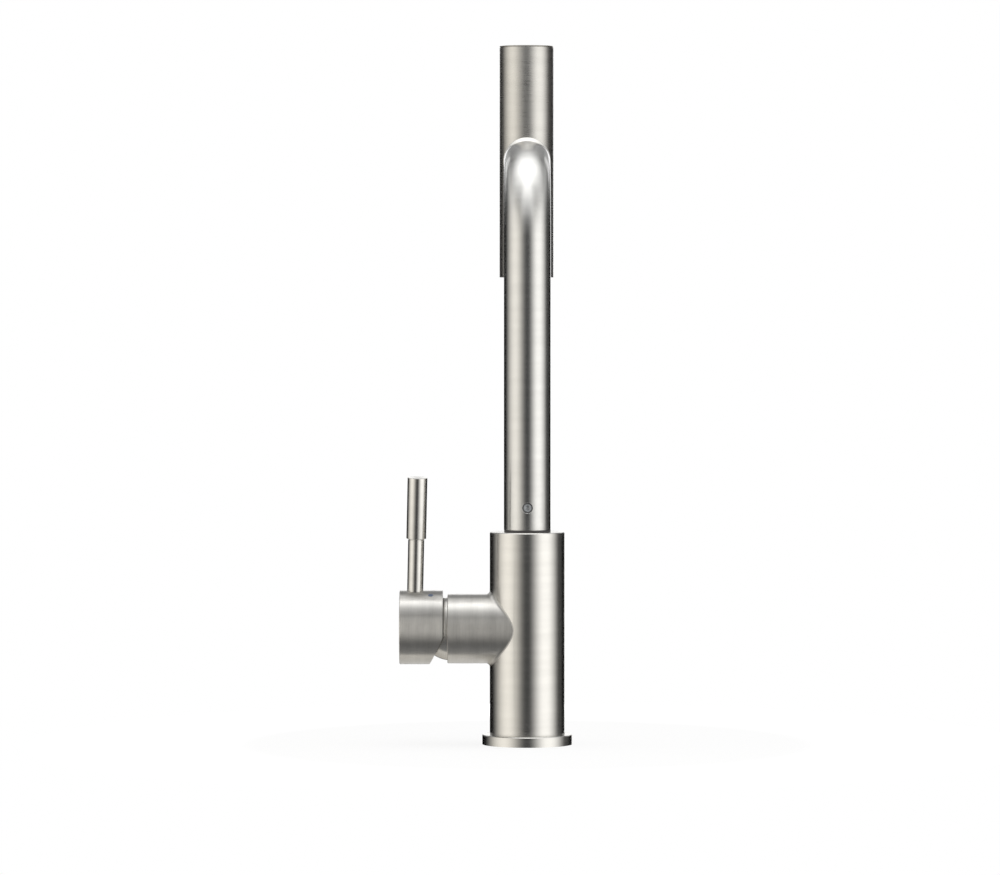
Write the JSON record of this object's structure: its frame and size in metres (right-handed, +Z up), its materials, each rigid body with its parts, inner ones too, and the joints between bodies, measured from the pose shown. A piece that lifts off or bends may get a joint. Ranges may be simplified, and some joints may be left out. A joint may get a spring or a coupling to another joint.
{
  "type": "gooseneck bar faucet",
  "caption": "Single-hole bar faucet with an upright side lever, a tall bent spout tube and an upright spray head docked on its end.",
  "frame": {"origin": "centre of the base flange's underside, on the deck", "axes": "+Z up along the body, +Y the way the spout points, lever on the -X side"},
  "size_m": [0.1035, 0.1386, 0.4223],
  "materials": {
    "brushed_metal": "fine brushed, circumferential",
    "brass": "turned",
    "steel": "plain turned",
    "dark_nylon": "moulded",
    "grey_plastic": "moulded",
    "ceramic": "lapped",
    "rubber": "moulded",
    "cold_mark": "enamel",
    "hot_mark": "enamel"
  },
  "bodies": {
    "root": {"base_flange": "brushed_metal", "deck_gasket": "rubber", "body_shell": "brushed_metal", "cartridge_casing": "grey_plastic", "cartridge_seals": "rubber", "fixed_disc": "ceramic", "retaining_nut": "brass", "dome_cap": "brushed_metal", "spout_post": "brass", "swivel_ring": "dark_nylon", "upper_bush": "dark_nylon"},
    "mixer": {"rotor": "grey_plastic", "lever_pin": "steel"},
    "disc": {"disc_carrier": "dark_nylon", "moving_disc": "ceramic"},
    "lever": {"lever_spindle": "steel", "lever_hub": "brushed_metal", "lever_stem": "brushed_metal", "lever_grip": "brushed_metal", "hub_set_screw": "steel", "cold_mark": "cold_mark", "hot_mark": "hot_mark"},
    "spout": {"spout_tube": "brushed_metal", "screw_sleeve": "brass", "spout_set_screw": "steel", "dock_collar": "brushed_metal", "dock_bush": "dark_nylon"},
    "head": {"head_barrel": "brushed_metal", "head_top_cap": "brushed_metal", "docking_stub": "brass", "stub_o_ring": "rubber", "check_valve": "grey_plastic", "waterway": "grey_plastic", "aerator_housing": "brushed_metal", "aerator_insert": "grey_plastic", "aerator_seal": "rubber"}
  },
  "joints": [
    {"name": "spout_swivel", "type": "hinge", "parent": "root", "child": "spout", "pos_m": [0, 0, 0.1272], "axis": [0, 0, 1], "continuous": true},
    {"name": "spray_pull", "type": "slide", "parent": "spout", "child": "head", "axis": [0, 1, 0], "range_m": [0, 0.02]},
    {"name": "lever_turn", "type": "hinge", "parent": "root", "child": "mixer", "pos_m": [0, 0, 0.0692], "axis": [1, 0, 0], "range_deg": [-45, 45]},
    {"name": "lever_lift", "type": "hinge", "parent": "mixer", "child": "lever", "pos_m": [-0.0455, 0, 0.0692], "axis": [0, -0.9962, -0.0872], "range_deg": [0, 24]},
    {"name": "disc_slide", "type": "slide", "parent": "mixer", "child": "disc", "axis": [0, -0.0872, 0.9962], "range_m": [0, 0.0065]}
  ],
  "couplings": [
    {"joint": "disc_slide", "follows": "lever_lift", "m_per_rad": 0.015387}
  ]
}
